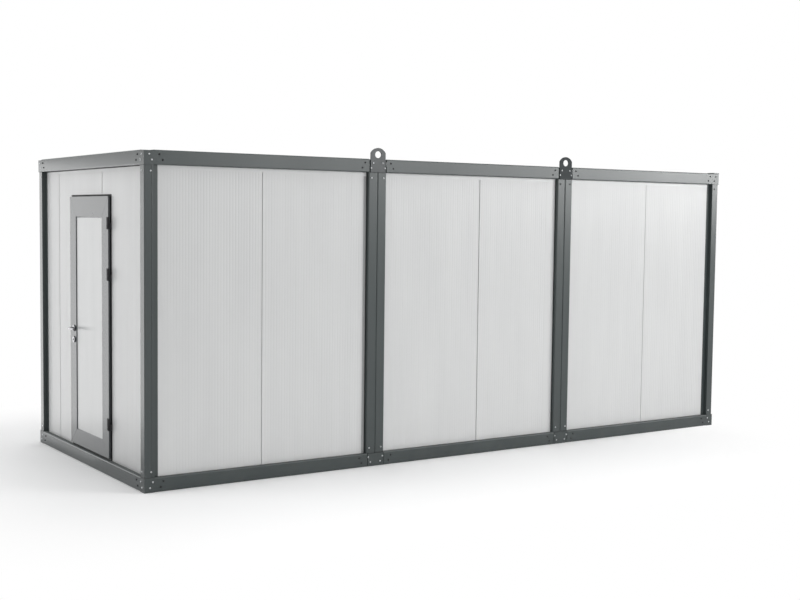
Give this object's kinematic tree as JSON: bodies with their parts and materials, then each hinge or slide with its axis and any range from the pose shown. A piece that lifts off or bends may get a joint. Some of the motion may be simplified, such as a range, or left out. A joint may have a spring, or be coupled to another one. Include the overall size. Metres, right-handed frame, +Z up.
{
  "type": "portable site cabin",
  "caption": "Long flat-roofed site cabin of bolted dark steel frame modules with ribbed pale panels, a hinged panelled door in one end and lifting lugs over the module joints.",
  "frame": {"origin": "middle of the footprint at ground level", "axes": "+X along the cabin away from the door end, +Y from the front long wall to the back one, +Z up"},
  "size_m": [6.0425, 2.404, 2.59],
  "materials": {
    "frame_paint": "satin anthracite paint",
    "wall_panel": "coated micro-ribbed sheet",
    "edge_trim": "coated folded sheet",
    "roof_sheet": "coated ribbed sheet",
    "floor_covering": "matt sheet flooring",
    "door_surround": "matt black paint",
    "sill_metal": "dark anodised",
    "door_paint": "satin anthracite paint",
    "door_panel": "satin pale panel",
    "hinge_paint": "satin black",
    "handle_chrome": "polished",
    "seal_rubber": "matt"
  },
  "bodies": {
    "cabin": {"corner_posts": "frame_paint", "front_joint_posts": "frame_paint", "back_joint_posts": "frame_paint", "front_bottom_rails": "frame_paint", "front_top_rails": "frame_paint", "back_bottom_rails": "frame_paint", "back_top_rails": "frame_paint", "door_end_bottom_rail": "frame_paint", "door_end_top_rail": "frame_paint", "far_end_bottom_rail": "frame_paint", "far_end_top_rail": "frame_paint", "joint_bottom_rails": "frame_paint", "joint_top_rails": "frame_paint", "bottom_corner_blocks": "frame_paint", "top_corner_blocks": "frame_paint", "coupling_plates": "frame_paint", "lifting_lugs": "frame_paint", "front_wall_bay_1": "wall_panel", "front_wall_bay_2": "wall_panel", "front_wall_bay_3": "wall_panel", "back_wall_bay_1": "wall_panel", "back_wall_bay_2": "wall_panel", "back_wall_bay_3": "wall_panel", "door_end_wall_left": "wall_panel", "door_end_wall_over": "wall_panel", "door_end_wall_right": "wall_panel", "far_end_wall": "wall_panel", "front_panel_trims": "edge_trim", "back_panel_trims": "edge_trim", "end_panel_trims": "edge_trim", "roof_panel_1": "roof_sheet", "roof_panel_2": "roof_sheet", "roof_panel_3": "roof_sheet", "floor_deck_1": "floor_covering", "floor_deck_2": "floor_covering", "floor_deck_3": "floor_covering", "door_frame": "door_surround", "door_sill": "sill_metal", "hinge_frame_halves": "hinge_paint", "joint_seals": "seal_rubber"},
    "door_leaf": {"door_leaf_frame": "door_paint", "door_infill": "door_panel", "door_bead": "door_paint", "hinge_leaf_halves": "hinge_paint", "door_roses": "handle_chrome"},
    "door_lever": {"door_levers": "handle_chrome"}
  },
  "joints": [
    {"name": "door_hinge", "type": "hinge", "parent": "cabin", "child": "door_leaf", "pos_m": [-2.988, -0.455, 0.126], "axis": [0, 0, 1], "range_deg": [0, 105]},
    {"name": "lever_turn", "type": "hinge", "parent": "door_leaf", "child": "door_lever", "pos_m": [-2.983, 0.34, 1.088], "axis": [1, 0, 0], "range_deg": [0, 40], "stiffness_Nm_per_rad": 2, "springref_deg": -28.65}
  ]
}
